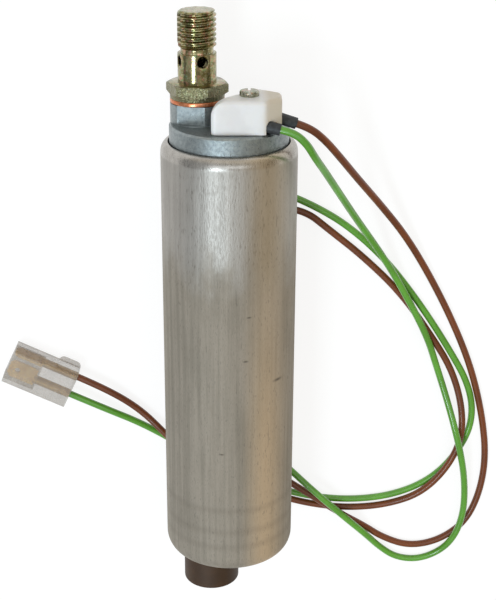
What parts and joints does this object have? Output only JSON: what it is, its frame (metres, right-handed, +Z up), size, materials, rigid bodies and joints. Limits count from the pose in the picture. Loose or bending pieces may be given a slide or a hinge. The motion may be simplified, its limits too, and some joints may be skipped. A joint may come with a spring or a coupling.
{
  "type": "electric fuel pump",
  "caption": "In-line electric fuel pump: rolled aluminium can with a gear pump and motor inside, an outlet stud with check valve, capped terminals and a plug on two leads.",
  "frame": {"origin": "on the pump's axis, at the middle of the can's length", "axes": "+X along the pump towards the outlet, +Z up with the pump lying on a table, +Y towards the outlet stud's side"},
  "size_m": [0.209, 0.1726, 0.0462],
  "materials": {
    "can_aluminium": "satin, drawn, light scratches",
    "cast_aluminium": "as cast and turned",
    "zinc_yellow": "yellow passivated zinc",
    "copper": "bright copper",
    "brass": "bright",
    "nylon_white": "satin nylon",
    "screw_zinc": "zinc plated",
    "dust_cap_plastic": "satin",
    "connector_plastic": "translucent nylon",
    "green_insulation": "satin",
    "brown_insulation": "satin",
    "black_sleeve": "shrunk sleeve",
    "seal_rubber": "smooth",
    "steel": "ground",
    "spring_steel": "drawn wire",
    "sintered_steel": "sintered",
    "magnet_ferrite": "ground ferrite",
    "core_steel": "stacked sheet",
    "winding_copper": "varnished",
    "carbon": "pressed carbon",
    "moulded_black": "moulded",
    "sleeve_bronze": "sintered bronze",
    "strainer_mesh": "fine screen"
  },
  "bodies": {
    "pump": {"outer_can": "can_aluminium", "outlet_end_cover": "cast_aluminium", "outlet_cover_seal": "seal_rubber", "check_valve_body": "zinc_yellow", "copper_washer": "copper", "check_valve_seat": "brass", "check_valve_spring": "spring_steel", "check_valve_stop": "brass", "post_bushes": "moulded_black", "terminal_posts": "brass", "green_ring_terminal": "brass", "brown_ring_terminal": "brass", "green_lead_sleeve": "black_sleeve", "brown_lead_sleeve": "black_sleeve", "terminal_cap": "nylon_white", "terminal_cap_screw": "screw_zinc", "green_lead": "green_insulation", "brown_lead": "brown_insulation", "connector_housing": "connector_plastic", "green_blade_terminal": "brass", "brown_blade_terminal": "brass", "inlet_cover": "cast_aluminium", "inlet_cover_seal": "seal_rubber", "inlet_strainer": "strainer_mesh", "relief_valve_spring": "spring_steel", "suction_plate": "steel", "pump_ring": "sintered_steel", "pressure_plate": "steel", "pump_screws": "steel", "motor_ring": "steel", "magnets": "magnet_ferrite", "magnet_clips": "spring_steel", "front_bush": "sleeve_bronze", "rear_bush": "sleeve_bronze", "brush_spring_upper": "spring_steel", "brush_spring_lower": "spring_steel", "brush_holder": "moulded_black", "brush_straps": "brass"},
    "armature": {"armature_core": "core_steel", "armature_windings": "winding_copper", "armature_shaft": "steel", "shaft_spacers": "moulded_black", "commutator_segments": "copper", "commutator_hub": "moulded_black", "inner_rotor": "sintered_steel", "rotor_coupling": "moulded_black"},
    "outer_rotor": {"outer_rotor": "sintered_steel"},
    "check_ball": {"check_valve_ball": "steel"},
    "relief_ball": {"relief_valve_ball": "steel"},
    "brush_upper": {"brush_upper": "carbon"},
    "brush_lower": {"brush_lower": "carbon"},
    "dust_cap": {"inlet_dust_cap": "dust_cap_plastic"}
  },
  "joints": [
    {"name": "armature_spin", "type": "hinge", "parent": "pump", "child": "armature", "pos_m": [0, 0, 0], "axis": [1, 0, 0], "continuous": true},
    {"name": "outer_rotor_spin", "type": "hinge", "parent": "pump", "child": "outer_rotor", "pos_m": [0, 0.00115, 0], "axis": [1, 0, 0], "continuous": true},
    {"name": "check_valve_lift", "type": "slide", "parent": "pump", "child": "check_ball", "axis": [1, 0, 0], "range_m": [0, 0.0015], "stiffness_N_per_m": 200, "springref_m": -0.002, "deforming": ["check_valve_spring"]},
    {"name": "relief_valve_lift", "type": "slide", "parent": "pump", "child": "relief_ball", "axis": [-1, 0, 0], "range_m": [0, 0.001], "stiffness_N_per_m": 400, "springref_m": -0.002, "deforming": ["relief_valve_spring"]},
    {"name": "brush_upper_feed", "type": "slide", "parent": "pump", "child": "brush_upper", "axis": [1, 0, 0], "range_m": [0, 0.003], "stiffness_N_per_m": 100, "springref_m": -0.004, "deforming": ["brush_spring_upper"]},
    {"name": "brush_lower_feed", "type": "slide", "parent": "pump", "child": "brush_lower", "axis": [1, 0, 0], "range_m": [0, 0.003], "stiffness_N_per_m": 100, "springref_m": -0.004, "deforming": ["brush_spring_lower"]},
    {"name": "dust_cap_pull", "type": "slide", "parent": "pump", "child": "dust_cap", "axis": [-1, 0, 0], "range_m": [0, 0.018]}
  ],
  "couplings": [
    {"joint": "outer_rotor_spin", "follows": "armature_spin", "ratio": 0.85714}
  ]
}
